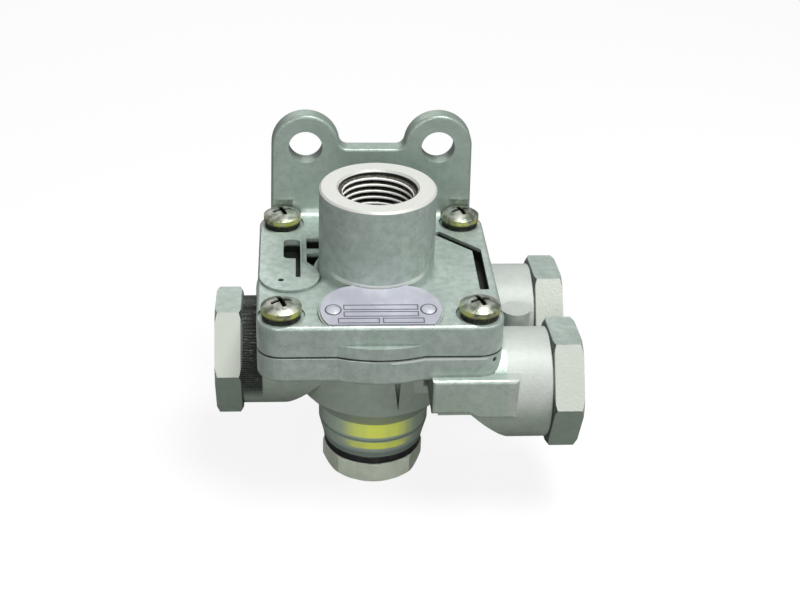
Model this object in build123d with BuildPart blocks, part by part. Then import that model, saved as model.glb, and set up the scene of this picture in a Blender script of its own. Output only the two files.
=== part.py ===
from build123d import *
import math
import os

os.makedirs("parts", exist_ok=True)

# Quick release valve for a compressed air brake line, in millimetres.
# Air enters through the tall boss on the cover and leaves through the side ports.
# When the inlet is vented, the rubber diaphragm lifts and the side ports blow out
# through the exhaust at the bottom.
# The main axis is Z. The origin is the centre of the exhaust nut's lower face.
# The bracket plate stands at the back (+Y), one port is on the left, two on the right.

# Stack under the body, from the nut's lower face upwards
nut_height = 6.2
seal_height = 2.8
bush_taper_height = 6.0
bush_groove_height = 1.0
bush_band_height = 5.0
neck_bottom = (
    nut_height + seal_height + bush_taper_height + bush_groove_height + bush_band_height
)

# Body and cover, heights measured from the joint face between them
body_depth = 31.0
split_height = neck_bottom + body_depth
flange_thickness = 7.4
cover_thickness = 9.0
cover_top = split_height + cover_thickness

# Screw pattern and the flange outline round it
screw_half_span = 25.4
screw_front_y = -24.0
screw_rear_y = 27.8
corner_radius = 6.4
bulge_radius = 32.4
cover_bulge_height = 3.6
edge_round = 1.0
joint_edge_round = 0.5

# Casing round the lower chamber, and the neck under it
casing_radius = 21.0
cone_height = 6.2
neck_radius = 15.8

# Side ports
port_axis_depth = 15.75
port_axis_height = split_height - port_axis_depth
port_half_spacing = 17.7
port_neck_radius = 14.8
left_neck_start = 8.0
right_neck_start = 15.0
left_port_reach = 43.4
left_hex_length = 7.2
right_port_reach = 53.2
right_hex_length = 8.0
hex_across_flats = 30.0
hex_corner_cut = 1.3
hex_cut_angle = 30.0
hex_turn = 5.5
left_slant_reach = 27.3
right_slant_reach = 37.6
slant_run = 14.0

# Pipe thread G 1/2, cut to its root: the crests stand inward from this wall
thread_root_radius = 10.48
thread_mouth_radius = 10.95
thread_mouth_depth = 0.6
port_thread_length = 15.0
port_cone_depth = 4.0
inlet_thread_length = 17.0

# Passage blocks beside the right ports, the slit beside them, and the pad between the necks
block_proud = 0.3
block_face_y = port_half_spacing + port_neck_radius + block_proud
block_back_y = 9.0
block_start_x = 13.3
block_end_x = 35.8
block_top_depth = 6.0
block_bottom_depth = 16.2
block_step_depth = 17.8
block_step_start = 22.8
block_step_end = 25.8
slit_left_x = 3.4
slit_right_x = 6.4
slit_tip_x = 5.6
slit_tip_depth = 23.5
slit_depth = 2.2
pad_x = 38.8
pad_overlap = 1.1
pad_radius = port_half_spacing - port_neck_radius + pad_overlap
pad_top_depth = 3.4
pad_length = 9.8

# Chambers and seats
chamber_radius = 22.0
chamber_depth = 6.0
annulus_radius = 17.5
annulus_depth = 22.0
exhaust_bore_radius = 7.5
exhaust_seat_radius = 10.0
exhaust_seat_drop = 2.0
left_passage_radius = 6.0
left_passage_depth = 14.5
right_passage_radius = 4.4
right_passage_depth = 12.4
right_passage_offset = 12.2
right_passage_end_x = 11.0
passage_wall = 2.0
passage_wall_start = 9.0
passage_wall_end = 26.5
ceiling_rise = 4.0

# Diaphragm
diaphragm_thickness = 2.6
diaphragm_rim_thickness = 1.6
diaphragm_rim_round = 0.5
diaphragm_centre_radius = 11.5
diaphragm_side_gap = 0.8
seat_gap = 0.2
diaphragm_lift = 1.5

# Cover seal in its groove
seal_groove_radius = 24.4
seal_groove_width = 2.2
seal_groove_depth = 1.8
seal_side_gap = 0.05
seal_round = 0.7

# Inlet boss
inlet_rise = 33.7
inlet_top = split_height + inlet_rise
inlet_radius = 15.5
inlet_foot_round = 1.4
inlet_rim_round = 0.5
inlet_bore_radius = 7.5
inlet_seat_radius = 9.5

# Bracket plate
plate_front_y = 33.1
plate_thickness = 5.4
plate_back_y = plate_front_y + plate_thickness
plate_half_width = 28.9
bracket_hole_rise = 30.1
bracket_hole_height = split_height + bracket_hole_rise
bracket_hole_half_spacing = 18.75
bracket_hole_radius = 4.75
ear_radius = 9.6
notch_drop = 0.5
notch_round = 2.5
plate_edge_round = 0.9
plate_foot_round = 2.4

# Recesses and the raised land on the cover's top
groove_width = 2.5
groove_depth = 4.0
groove_end_x = 28.2
groove_end_y = -11.2
groove_bend_x = 28.4
groove_bend_y = 11.0
groove_start_x = 18.0
groove_start_y = 21.6
land_rise = 0.8
land_radius = 8.0
land_centre_x = -23.3
land_centre_y = -4.6
land_edge_x = -19.9
land_back_y = 20.5
pocket_depth = 3.2
rib_width = 1.2
web_front_y = 9.3
web_back_y = 12.2
pocket_inner_x = -13.6
pocket_length = 3.6
pocket_back_y = 18.3
pocket_front_y = -0.6
keyhole_width = 4.6
keyhole_length = 11.0
keyhole_centre_y = 10.6
keyhole_slot_width = 1.3
keyhole_slot_length = 16.0
keyhole_wall = 0.5
keyhole_round = 1.5
dimple_radius = 0.8
dimple_depth = 1.6
dimple_offset = 2.3

# Cover screws M6 with cheese heads, and their spring washers
screw_radius = 3.0
thread_gap = 0.03
screw_clearance = 0.3
screw_length = 16.0
screw_lead = 0.6
head_radius = 5.25
head_side_height = 1.6
head_height = 3.3
cross_length = 5.6
cross_width = 1.3
cross_depth = 1.7
cross_turn = 20.0
cross_taper = 8.0
washer_radius = 4.95
washer_thickness = 1.6
washer_gap = 0.1
washer_split = 0.8
spot_radius = 6.1
spot_depth = 0.4

# Rating plate on its sloping seat, and its rivets. The seat rises from its front edge to the boss.
seat_front_y = -29.6
seat_slope = 9.6
seat_depth = 4.0
seat_margin = 0.5
label_thickness = 0.5
label_end_radius = 9.6
label_end_x = 5.9
label_centre_rise = 6.0
label_boss_gap = 0.4
rivet_x = 12.2
rivet_rise = 5.8
rivet_head_radius = 2.0
rivet_head_height = 0.5
rivet_shank_radius = 1.0
rivet_depth = 3.0
rivet_gap = 0.02

# Exhaust bush, seal, flap and nut
bush_radius = 15.4
bush_groove_inset = 0.7
bush_taper_radius = 14.0
bush_lead = 0.4
spigot_radius = 11.0
spigot_length = 8.0
nut_thread_radius = 10.5
flap_room = 1.8
spider_height = 2.2
spider_hub_radius = 2.6
spider_spoke_width = 1.6
spider_spokes = 3
seal_outer_radius = 13.8
seal_edge_round = 0.7
nut_across_flats = 26.2
nut_sides = 8
nut_corner_cut = 1.0
nut_bore_radius = 8.5
nut_spigot_top_gap = 1.8
flap_radius = 8.5
flap_thickness = 1.2
flap_stem_radius = 1.3
flap_stem_gap = 0.05
flap_bulb_radius = 1.9
flap_bulb_height = 1.1

# Places worked out from the sizes above
ear_centres = [
    (-bracket_hole_half_spacing, bracket_hole_height),
    (bracket_hole_half_spacing, bracket_hole_height),
]
rivet_places = {"left": (-rivet_x, rivet_rise), "right": (rivet_x, rivet_rise)}
screw_places = {
    "front_left": (-screw_half_span, screw_front_y),
    "front_right": (screw_half_span, screw_front_y),
    "rear_left": (-screw_half_span, screw_rear_y),
    "rear_right": (screw_half_span, screw_rear_y),
}
right_port_ys = (-port_half_spacing, port_half_spacing)
flange_depth = screw_rear_y - screw_front_y + 2 * corner_radius
flange_width = 2 * (screw_half_span + corner_radius)
flange_centre_y = (screw_rear_y + screw_front_y) / 2
ceiling_height = split_height + ceiling_rise
exhaust_seat_height = split_height - exhaust_seat_drop
diaphragm_bottom = exhaust_seat_height + seat_gap
inlet_seat_height = diaphragm_bottom + diaphragm_thickness + diaphragm_lift + seat_gap
seat_plane = Plane(origin=(0, seat_front_y, cover_top), x_dir=(1, 0, 0)).rotated((seat_slope, 0, 0))
head_base = cover_top - spot_depth + washer_thickness
bush_bottom = nut_height + seal_height
bush_groove_bottom = bush_bottom + bush_taper_height
bush_bore_step = neck_bottom - bush_band_height + flap_room
spider_top = bush_bore_step + spider_height
nut_spigot_top = bush_bore_step - flap_thickness - nut_spigot_top_gap


def upright(x, y):
    """A vertical sketch plane through (x, y): its own x runs along X, its own y is the height."""
    return Plane(origin=(x, y, 0), x_dir=(1, 0, 0), z_dir=(0, -1, 0))


def dome_arc(radius, base, rise):
    """Half of a dome's outline: from its edge at height base to its crown on the axis."""
    sphere = (radius**2 + rise**2) / (2 * rise)
    halfway = base + rise - sphere + math.sqrt(sphere**2 - radius**2 / 4)
    ThreePointArc((radius, base), (radius / 2, halfway), (0, base + rise))


def main_axis(x, y):
    """The vertical line through (x, y)."""
    return Axis((x, y, 0), (0, 0, 1))


def across(x, y):
    """A sketch plane square to X at x: its own x runs along +Y from y, its own y along +Z
    from the height of the port axes."""
    return Plane(origin=(x, y, port_axis_height), x_dir=(0, 1, 0), z_dir=(1, 0, 0))


def flange_block(low, high, bulge_high):
    """The square flange, and the round chamber wall showing as a slight bulge on each side."""
    with BuildPart() as block:
        with BuildSketch(Plane.XY.offset(low)):
            with Locations((0, flange_centre_y)):
                RectangleRounded(flange_width, flange_depth, corner_radius)
        extrude(amount=high - low)
        with BuildSketch(Plane.XY.offset(low)):
            Circle(bulge_radius)
        extrude(amount=bulge_high - low)
    return block.part


def label_outline(margin):
    """The rating plate's outline on the seat plane: straight in front, round at both ends."""
    SlotCenterToCenter(2 * label_end_x, 2 * (label_end_radius + margin))
    with Locations((0, -label_centre_rise)):
        Rectangle(
            4 * label_end_radius,
            2 * label_centre_rise,
            align=(Align.CENTER, Align.MAX),
            mode=Mode.SUBTRACT,
        )


def bracket_plate():
    """The upright plate with its two ears and holes, its outline rounded on both faces."""
    base = split_height + joint_edge_round
    notch_height = bracket_hole_height - notch_drop
    ear_edge_x = bracket_hole_half_spacing + ear_radius
    with BuildPart() as plate:
        with BuildSketch(Plane.XZ.offset(-plate_back_y)) as outline:
            Polygon(
                (-plate_half_width, base),
                (plate_half_width, base),
                (ear_edge_x, notch_height),
                (-ear_edge_x, notch_height),
                align=None,
            )
            with Locations(*ear_centres):
                Circle(ear_radius)
            inner_corners = outline.vertices().filter_by(
                lambda point: abs(point.X) < bracket_hole_half_spacing
                and abs(point.Y - notch_height) < notch_round
            )
            fillet(inner_corners, radius=notch_round)
        extrude(amount=plate_thickness)
        rims = plate.faces().filter_by(Axis.Y).edges()
        fillet(rims.filter_by(lambda rim: rim.center().Z > base + edge_round), radius=plate_edge_round)
        with BuildSketch(Plane.XZ.offset(-plate_back_y)):
            with Locations(*ear_centres):
                Circle(bracket_hole_radius)
        extrude(amount=plate_thickness, mode=Mode.SUBTRACT)
    return plate.part


def hex_end(inner_x, outer_x, y):
    """The hexagon at a port's mouth, its corners turned off by a cone at both faces."""
    corner = hex_across_flats / math.sqrt(3)
    side = math.copysign(1, outer_x - inner_x)
    cut_run = side * hex_corner_cut * math.tan(math.radians(hex_cut_angle))
    with BuildPart() as hexagon:
        with BuildSketch(across(inner_x, y)):
            RegularPolygon(corner, 6, rotation=-hex_turn)
        extrude(amount=outer_x - inner_x)
        with BuildSketch(Plane(origin=(0, y, port_axis_height), z_dir=(0, -1, 0), x_dir=(1, 0, 0))):
            Polygon(
                (inner_x, 0),
                (inner_x, corner - hex_corner_cut),
                (inner_x + cut_run, corner),
                (outer_x - cut_run, corner),
                (outer_x, corner - hex_corner_cut),
                (outer_x, 0),
                align=None,
            )
        revolve(axis=Axis((0, y, port_axis_height), (1, 0, 0)), mode=Mode.INTERSECT)
    return hexagon.part


def port_neck(inner_x, outer_x, y, slant_x):
    """A round neck whose underside runs up at 45 degrees towards the casing."""
    side = math.copysign(1, outer_x)
    low = port_axis_height - port_neck_radius
    with BuildPart() as neck:
        with BuildSketch(across(inner_x, y)):
            Circle(port_neck_radius)
        extrude(amount=outer_x - inner_x)
        with BuildSketch(Plane.XZ):
            Polygon(
                (slant_x, low),
                (slant_x - side * slant_run, low + slant_run),
                (0, low + slant_run),
                (0, low),
                align=None,
            )
        extrude(amount=2 * port_half_spacing + port_neck_radius, both=True, mode=Mode.SUBTRACT)
    return neck.part


def passage_block(side):
    """The casting round a right passage: side is -1 for the front one, 1 for the rear one."""
    top = split_height - block_top_depth
    bottom = split_height - block_bottom_depth
    step = split_height - block_step_depth
    with BuildPart() as block:
        with BuildSketch(Plane.XZ.offset(-side * block_back_y)):
            Polygon(
                (block_start_x, top),
                (block_start_x, bottom),
                (block_step_start, bottom),
                (block_step_end, step),
                (block_end_x, step),
                (block_end_x, top),
                align=None,
            )
        extrude(amount=-side * (block_face_y - block_back_y))
        outer = block.faces().sort_by(Axis.Y)[0 if side < 0 else -1]
        fillet(outer.edges(), radius=edge_round)
    return block.part


def thread_bore_profile(length, drill_radius, drill_length):
    """Half section of a threaded hole and the drilling past it, its mouth at height 0."""
    cone_drop = port_cone_depth * (1 - drill_radius / thread_root_radius)
    Polygon(
        (0, 0),
        (thread_mouth_radius, 0),
        (thread_root_radius, -thread_mouth_depth),
        (thread_root_radius, -length),
        (drill_radius, -length - cone_drop),
        (drill_radius, -drill_length),
        (0, -drill_length),
        align=None,
    )


def port_bore(mouth_x, y):
    """A threaded port, closed by a drill's cone."""
    side = math.copysign(1, mouth_x)
    mouth = (mouth_x, y, port_axis_height)
    with BuildPart() as bore:
        with BuildSketch(Plane(origin=mouth, x_dir=(0, -side, 0), z_dir=(0, 0, 1))):
            thread_bore_profile(port_thread_length, 0, port_thread_length + port_cone_depth)
        revolve(axis=Axis(mouth, (side, 0, 0)))
    return bore.part


def passage(start_x, end_x, y, height, radius):
    """A round passage along X, from a port to the annular chamber."""
    with BuildPart() as bore:
        with BuildSketch(Plane(origin=(start_x, y, height), x_dir=(0, 1, 0), z_dir=(1, 0, 0))):
            Circle(radius)
        extrude(amount=end_x - start_x)
    return bore.part


# Valve body, one casting
with BuildPart() as valve_body:
    add(flange_block(split_height - flange_thickness, split_height, split_height))
    fillet(valve_body.edges().group_by(Axis.Z)[0], radius=edge_round)
    fillet(valve_body.edges().group_by(Axis.Z)[-1], radius=joint_edge_round)

    # Casing, cone and neck
    with BuildSketch(Plane.XZ):
        Polygon(
            (0, neck_bottom),
            (neck_radius, neck_bottom),
            (casing_radius, neck_bottom + cone_height),
            (casing_radius, split_height - flange_thickness),
            (casing_radius, split_height - chamber_depth),
            (0, split_height - chamber_depth),
            align=None,
        )
    revolve(axis=Axis.Z)

    # Port necks with their hexagons
    left_hex_start = left_hex_length - left_port_reach
    right_hex_start = right_port_reach - right_hex_length
    add(port_neck(-left_neck_start, left_hex_start, 0, -left_slant_reach))
    add(hex_end(left_hex_start, -left_port_reach, 0))
    for port_y in right_port_ys:
        add(port_neck(right_neck_start, right_hex_start, port_y, right_slant_reach))
        add(hex_end(right_hex_start, right_port_reach, port_y))

    # Passage blocks, the walls round the passages behind them, and the pad between the necks
    wall_half_width = right_passage_radius + passage_wall
    wall_bottom = split_height - right_passage_depth - wall_half_width
    for side in (-1, 1):
        add(passage_block(side))
        with BuildSketch(Plane.XY.offset(wall_bottom)):
            with Locations(((passage_wall_start + passage_wall_end) / 2, side * right_passage_offset)):
                Rectangle(passage_wall_end - passage_wall_start, 2 * wall_half_width)
        extrude(amount=split_height - flange_thickness - wall_bottom)
    with BuildSketch(Plane.XY.offset(split_height - pad_top_depth)):
        with Locations((pad_x, 0)):
            Circle(pad_radius)
    extrude(amount=-pad_length)

    # Tapered slit in the front of the casing
    with BuildSketch(Plane.XZ.offset(casing_radius)):
        Polygon(
            (slit_right_x, split_height - flange_thickness),
            (slit_left_x, split_height - flange_thickness),
            (slit_tip_x, split_height - slit_tip_depth),
            align=None,
        )
    extrude(amount=-slit_depth, mode=Mode.SUBTRACT)

    # Upper chamber, annular chamber and the exhaust bore inside its seat
    with BuildSketch(Plane.XZ):
        Polygon(
            (0, split_height),
            (chamber_radius, split_height),
            (chamber_radius, split_height - chamber_depth),
            (annulus_radius, split_height - chamber_depth),
            (annulus_radius, split_height - annulus_depth),
            (exhaust_seat_radius, split_height - annulus_depth),
            (exhaust_seat_radius, exhaust_seat_height),
            (exhaust_bore_radius, exhaust_seat_height),
            (exhaust_bore_radius, neck_bottom + spigot_length),
            (spigot_radius + thread_gap, neck_bottom + spigot_length),
            (spigot_radius + thread_gap, neck_bottom),
            (0, neck_bottom),
            align=None,
        )
    revolve(axis=Axis.Z, mode=Mode.SUBTRACT)

    # Ports, each with its passage into the annular chamber
    passage_end = (exhaust_seat_radius + annulus_radius) / 2
    left_passage_height = split_height - left_passage_depth
    left_passage_start = port_thread_length - left_port_reach
    add(port_bore(-left_port_reach, 0), mode=Mode.SUBTRACT)
    add(
        passage(left_passage_start, -passage_end, 0, left_passage_height, left_passage_radius),
        mode=Mode.SUBTRACT,
    )
    right_passage_height = split_height - right_passage_depth
    right_passage_start = right_port_reach - port_thread_length
    for side in (-1, 1):
        add(port_bore(right_port_reach, side * port_half_spacing), mode=Mode.SUBTRACT)
        add(
            passage(
                right_passage_start,
                right_passage_end_x,
                side * right_passage_offset,
                right_passage_height,
                right_passage_radius,
            ),
            mode=Mode.SUBTRACT,
        )

    # Seal groove and tapped screw holes
    with BuildSketch(Plane.XY.offset(split_height)):
        Circle(seal_groove_radius + seal_groove_width / 2)
        Circle(seal_groove_radius - seal_groove_width / 2, mode=Mode.SUBTRACT)
    extrude(amount=-seal_groove_depth, mode=Mode.SUBTRACT)
    with BuildSketch(Plane.XY.offset(split_height)):
        with Locations(*screw_places.values()):
            Circle(screw_radius + thread_gap)
    extrude(amount=-flange_thickness, mode=Mode.SUBTRACT)
valve_body.part.label = "valve_body"
export_step(valve_body.part, "parts/valve_body.step")


# Top cover with the inlet boss and the bracket plate, one casting
with BuildPart() as top_cover:
    add(flange_block(split_height, cover_top, split_height + cover_bulge_height))
    fillet(top_cover.edges().group_by(Axis.Z)[-1], radius=edge_round)
    fillet(top_cover.edges().group_by(Axis.Z)[0], radius=joint_edge_round)

    # Raised land on the left
    with BuildSketch(Plane.XY.offset(cover_top - land_rise)):
        with Locations((land_centre_x, land_centre_y)):
            Circle(land_radius)
        land_left_x = land_centre_x - land_radius
        Polygon(
            (land_left_x, land_centre_y),
            (land_edge_x, land_centre_y),
            (land_edge_x, land_back_y),
            (land_left_x, land_back_y),
            align=None,
        )
    extrude(amount=2 * land_rise)

    add(bracket_plate())

    # Inlet boss with a rounded foot
    with BuildSketch(Plane.XZ) as boss_profile:
        with BuildLine():
            foot = (inlet_radius + inlet_foot_round, cover_top)
            foot_end = (inlet_radius, cover_top + inlet_foot_round)
            Polyline((0, ceiling_height), (foot[0], ceiling_height), foot)
            RadiusArc(foot, foot_end, inlet_foot_round)
            rim = (inlet_radius, inlet_top - inlet_rim_round)
            Polyline(foot_end, rim, (inlet_radius - inlet_rim_round, inlet_top), (0, inlet_top))
            Line((0, inlet_top), (0, ceiling_height))
        make_face()
    revolve(axis=Axis.Z)

    # Sloping seat for the rating plate, in front of the boss
    with BuildSketch(seat_plane):
        with Locations((0, label_centre_rise)):
            label_outline(seat_margin)
    extrude(amount=-seat_depth)

    # Rounded foot of the bracket plate, on its front
    foot_half_length = screw_half_span - head_radius
    with BuildSketch(Plane.YZ.offset(-foot_half_length)):
        with BuildLine():
            corner = (plate_front_y, cover_top)
            foot_front = (plate_front_y - plate_foot_round, cover_top)
            foot_top = (plate_front_y, cover_top + plate_foot_round)
            Line(corner, foot_front)
            RadiusArc(foot_front, foot_top, -plate_foot_round)
            Line(foot_top, corner)
        make_face()
    extrude(amount=2 * foot_half_length)

    # Groove along the right rim
    with BuildSketch(Plane.XY.offset(cover_top)):
        with BuildLine():
            Polyline(
                (groove_start_x, groove_start_y),
                (groove_bend_x, groove_bend_y),
                (groove_end_x, groove_end_y),
            )
        trace(line_width=groove_width)
    extrude(amount=-groove_depth, mode=Mode.SUBTRACT)

    # Two pockets beside the boss with a web between them, and a keyhole pocket in the land
    pocket_left_x = land_edge_x + rib_width
    with BuildSketch(Plane.XY.offset(cover_top)):
        Polygon(
            (pocket_left_x, web_back_y),
            (pocket_inner_x, web_back_y),
            (pocket_inner_x, pocket_back_y),
            (pocket_left_x, pocket_back_y),
            align=None,
        )
        Polygon(
            (pocket_left_x, web_front_y),
            (pocket_left_x + pocket_length, web_front_y),
            (pocket_left_x + pocket_length, pocket_front_y),
            (pocket_left_x, web_front_y / 2),
            align=None,
        )
    extrude(amount=-pocket_depth, mode=Mode.SUBTRACT)
    keyhole_right_x = land_edge_x - keyhole_wall
    with BuildSketch(Plane.XY.offset(cover_top + land_rise)):
        with Locations((keyhole_right_x - keyhole_width / 2, keyhole_centre_y)):
            RectangleRounded(keyhole_width, keyhole_length, keyhole_round)
        slot_centre_y = keyhole_centre_y - keyhole_slot_length / 2
        with Locations((keyhole_right_x - keyhole_slot_width / 2, slot_centre_y)):
            Rectangle(keyhole_slot_width, keyhole_slot_length)
    extrude(amount=-pocket_depth - land_rise, mode=Mode.SUBTRACT)
    with BuildSketch(Plane.XY.offset(cover_top + land_rise)):
        with Locations((land_centre_x - dimple_offset, land_centre_y - dimple_offset)):
            Circle(dimple_radius)
    extrude(amount=-dimple_depth, mode=Mode.SUBTRACT)

    # Spot faces and clearance holes for the screws
    with BuildSketch(Plane.XY.offset(cover_top - spot_depth)):
        with Locations(*screw_places.values()):
            Circle(spot_radius)
    extrude(amount=spot_depth + washer_thickness + head_height, mode=Mode.SUBTRACT)
    with BuildSketch(Plane.XY.offset(cover_top)):
        with Locations(*screw_places.values()):
            Circle(screw_radius + screw_clearance)
    extrude(amount=-cover_thickness, mode=Mode.SUBTRACT)
    with BuildSketch(seat_plane):
        with Locations(*rivet_places.values()):
            Circle(rivet_shank_radius + rivet_gap)
    extrude(amount=-rivet_depth, mode=Mode.SUBTRACT)

    # Chamber over the diaphragm, leaving the inlet seat standing down in it
    with BuildSketch(Plane.XZ):
        Polygon(
            (0, split_height),
            (chamber_radius, split_height),
            (chamber_radius, ceiling_height),
            (inlet_seat_radius, ceiling_height),
            (inlet_seat_radius, inlet_seat_height),
            (0, inlet_seat_height),
            align=None,
        )
    revolve(axis=Axis.Z, mode=Mode.SUBTRACT)

    # Threaded inlet and the bore down to its seat
    with BuildSketch(Plane(origin=(0, 0, inlet_top), x_dir=(1, 0, 0), z_dir=(0, -1, 0))):
        thread_bore_profile(inlet_thread_length, inlet_bore_radius, inlet_rise)
    revolve(axis=Axis.Z, mode=Mode.SUBTRACT)
top_cover.part.label = "top_cover"
export_step(top_cover.part, "parts/top_cover.step")


# Rubber seal in the joint face
with BuildPart() as cover_seal:
    seal_width = seal_groove_width - 2 * seal_side_gap
    with BuildSketch(Plane.XZ):
        with Locations((seal_groove_radius, split_height - seal_groove_depth / 2)):
            RectangleRounded(seal_width, seal_groove_depth, seal_round)
    revolve(axis=Axis.Z)
cover_seal.part.label = "cover_seal"
export_step(cover_seal.part, "parts/cover_seal.step")


# Diaphragm: a thick centre that seals on both seats and a thin rim that lets air pass
with BuildPart() as diaphragm:
    diaphragm_top = diaphragm_bottom + diaphragm_thickness
    diaphragm_radius = chamber_radius - diaphragm_side_gap
    rim_bottom = diaphragm_bottom + (diaphragm_thickness - diaphragm_rim_thickness) / 2
    rim_top = rim_bottom + diaphragm_rim_thickness
    with BuildSketch(Plane.XZ) as section:
        Polygon(
            (0, diaphragm_bottom),
            (diaphragm_centre_radius, diaphragm_bottom),
            (diaphragm_centre_radius + diaphragm_thickness, rim_bottom),
            (diaphragm_radius, rim_bottom),
            (diaphragm_radius, rim_top),
            (diaphragm_centre_radius + diaphragm_thickness, rim_top),
            (diaphragm_centre_radius, diaphragm_top),
            (0, diaphragm_top),
            align=None,
        )
        fillet(section.vertices().group_by(Axis.X)[-1], radius=diaphragm_rim_round)
    revolve(axis=Axis.Z)
diaphragm.part.label = "diaphragm"
export_step(diaphragm.part, "parts/diaphragm.step")


# Cover screws and spring washers, one of each in every corner
for place, (x, y) in screw_places.items():
    with BuildPart() as cover_screw:
        tip = head_base - screw_length
        side_top = head_base + head_side_height
        head_top = head_base + head_height
        with BuildSketch(upright(x, y)):
            with BuildLine():
                Polyline(
                    (0, head_top),
                    (0, tip),
                    (screw_radius - screw_lead, tip),
                    (screw_radius, tip + screw_lead),
                    (screw_radius, head_base),
                    (head_radius, head_base),
                    (head_radius, side_top),
                )
                dome_arc(head_radius, side_top, head_height - head_side_height)
            make_face()
        revolve(axis=main_axis(x, y))
        with BuildSketch(Plane((x, y, head_top))):
            Rectangle(cross_length, cross_width, rotation=cross_turn)
            Rectangle(cross_width, cross_length, rotation=cross_turn)
        extrude(amount=-cross_depth, mode=Mode.SUBTRACT, taper=cross_taper)
    cover_screw.part.label = f"cover_screw_{place}"
    export_step(cover_screw.part, f"parts/cover_screw_{place}.step")

    with BuildPart() as spring_washer:
        with BuildSketch(Plane((x, y, cover_top - spot_depth))):
            Circle(washer_radius)
            Circle(screw_radius + washer_gap, mode=Mode.SUBTRACT)
            with Locations((-washer_radius, 0)):
                Rectangle(washer_radius, washer_split, mode=Mode.SUBTRACT)
        extrude(amount=washer_thickness)
    spring_washer.part.label = f"spring_washer_{place}"
    export_step(spring_washer.part, f"parts/spring_washer_{place}.step")


# Rating plate on its seat, cut back where the boss stands
with BuildPart() as rating_plate:
    with BuildSketch(seat_plane):
        with Locations((0, label_centre_rise)):
            label_outline(0)
        with Locations(*rivet_places.values()):
            Circle(rivet_shank_radius + rivet_gap, mode=Mode.SUBTRACT)
    extrude(amount=label_thickness)
    with BuildSketch(Plane.XY.offset(cover_top)):
        Circle(inlet_radius + label_boss_gap)
    extrude(amount=inlet_rise, mode=Mode.SUBTRACT)
rating_plate.part.label = "rating_plate"
export_step(rating_plate.part, "parts/rating_plate.step")


# Rivets square to the rating plate, through it and into the cover
for place, (x, rise) in rivet_places.items():
    with BuildPart() as plate_rivet:
        with BuildSketch(Plane.XZ):
            with BuildLine():
                Polyline(
                    (0, label_thickness + rivet_head_height),
                    (0, -rivet_depth),
                    (rivet_shank_radius, -rivet_depth),
                    (rivet_shank_radius, label_thickness),
                    (rivet_head_radius, label_thickness),
                )
                dome_arc(rivet_head_radius, label_thickness, rivet_head_height)
            make_face()
        revolve(axis=Axis.Z)
    seated_rivet = seat_plane.location * Pos(x, rise, 0) * plate_rivet.part
    seated_rivet.label = f"plate_rivet_{place}"
    export_step(seated_rivet, f"parts/plate_rivet_{place}.step")


# Exhaust bush: screwed into the body's neck, with the spider that carries the flap
with BuildPart() as exhaust_bush:
    with BuildSketch(Plane.XZ):
        Polygon(
            (exhaust_bore_radius, bush_bore_step),
            (exhaust_bore_radius, neck_bottom + spigot_length),
            (spigot_radius - bush_lead, neck_bottom + spigot_length),
            (spigot_radius, neck_bottom + spigot_length - bush_lead),
            (spigot_radius, neck_bottom),
            (bush_radius - bush_lead, neck_bottom),
            (bush_radius, neck_bottom - bush_lead),
            (bush_radius, neck_bottom - bush_band_height),
            (bush_radius - bush_groove_inset, neck_bottom - bush_band_height),
            (bush_radius - bush_groove_inset, bush_groove_bottom),
            (bush_radius, bush_groove_bottom),
            (bush_taper_radius, bush_bottom + bush_lead),
            (bush_taper_radius, bush_bottom),
            (nut_thread_radius + thread_gap, bush_bottom),
            (nut_thread_radius + thread_gap, bush_bore_step),
            align=None,
        )
    revolve(axis=Axis.Z)
    with BuildSketch(Plane.XY.offset(bush_bore_step)):
        Circle(spider_hub_radius)
        spoke_length = exhaust_bore_radius + bush_lead
        with PolarLocations(spoke_length / 2, spider_spokes, start_angle=90):
            Rectangle(spoke_length, spider_spoke_width)
        Circle(flap_stem_radius + flap_stem_gap, mode=Mode.SUBTRACT)
    extrude(amount=spider_height)
exhaust_bush.part.label = "exhaust_bush"
export_step(exhaust_bush.part, "parts/exhaust_bush.step")


# Umbrella flap under the spider, its stem pulled through the hub
with BuildPart() as exhaust_flap:
    flap_top = bush_bore_step - flap_stem_gap
    bulb_base = spider_top + flap_stem_gap
    with BuildSketch(Plane.XZ):
        Polygon(
            (0, flap_top - flap_thickness),
            (flap_radius, flap_top - flap_thickness / 2),
            (flap_radius, flap_top),
            (flap_stem_radius, flap_top),
            (flap_stem_radius, bulb_base),
            (flap_bulb_radius, bulb_base),
            (flap_stem_radius, bulb_base + flap_bulb_height),
            (0, bulb_base + flap_bulb_height),
            align=None,
        )
    revolve(axis=Axis.Z)
exhaust_flap.part.label = "exhaust_flap"
export_step(exhaust_flap.part, "parts/exhaust_flap.step")


# Rubber ring clamped between the bush and the nut
with BuildPart() as exhaust_seal:
    with BuildSketch(Plane.XZ) as section:
        Polygon(
            (nut_thread_radius + thread_gap, nut_height),
            (seal_outer_radius, nut_height),
            (seal_outer_radius, bush_bottom),
            (nut_thread_radius + thread_gap, bush_bottom),
            align=None,
        )
        fillet(section.vertices().group_by(Axis.X)[-1], radius=seal_edge_round)
    revolve(axis=Axis.Z)
exhaust_seal.part.label = "exhaust_seal"
export_step(exhaust_seal.part, "parts/exhaust_seal.step")


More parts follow.
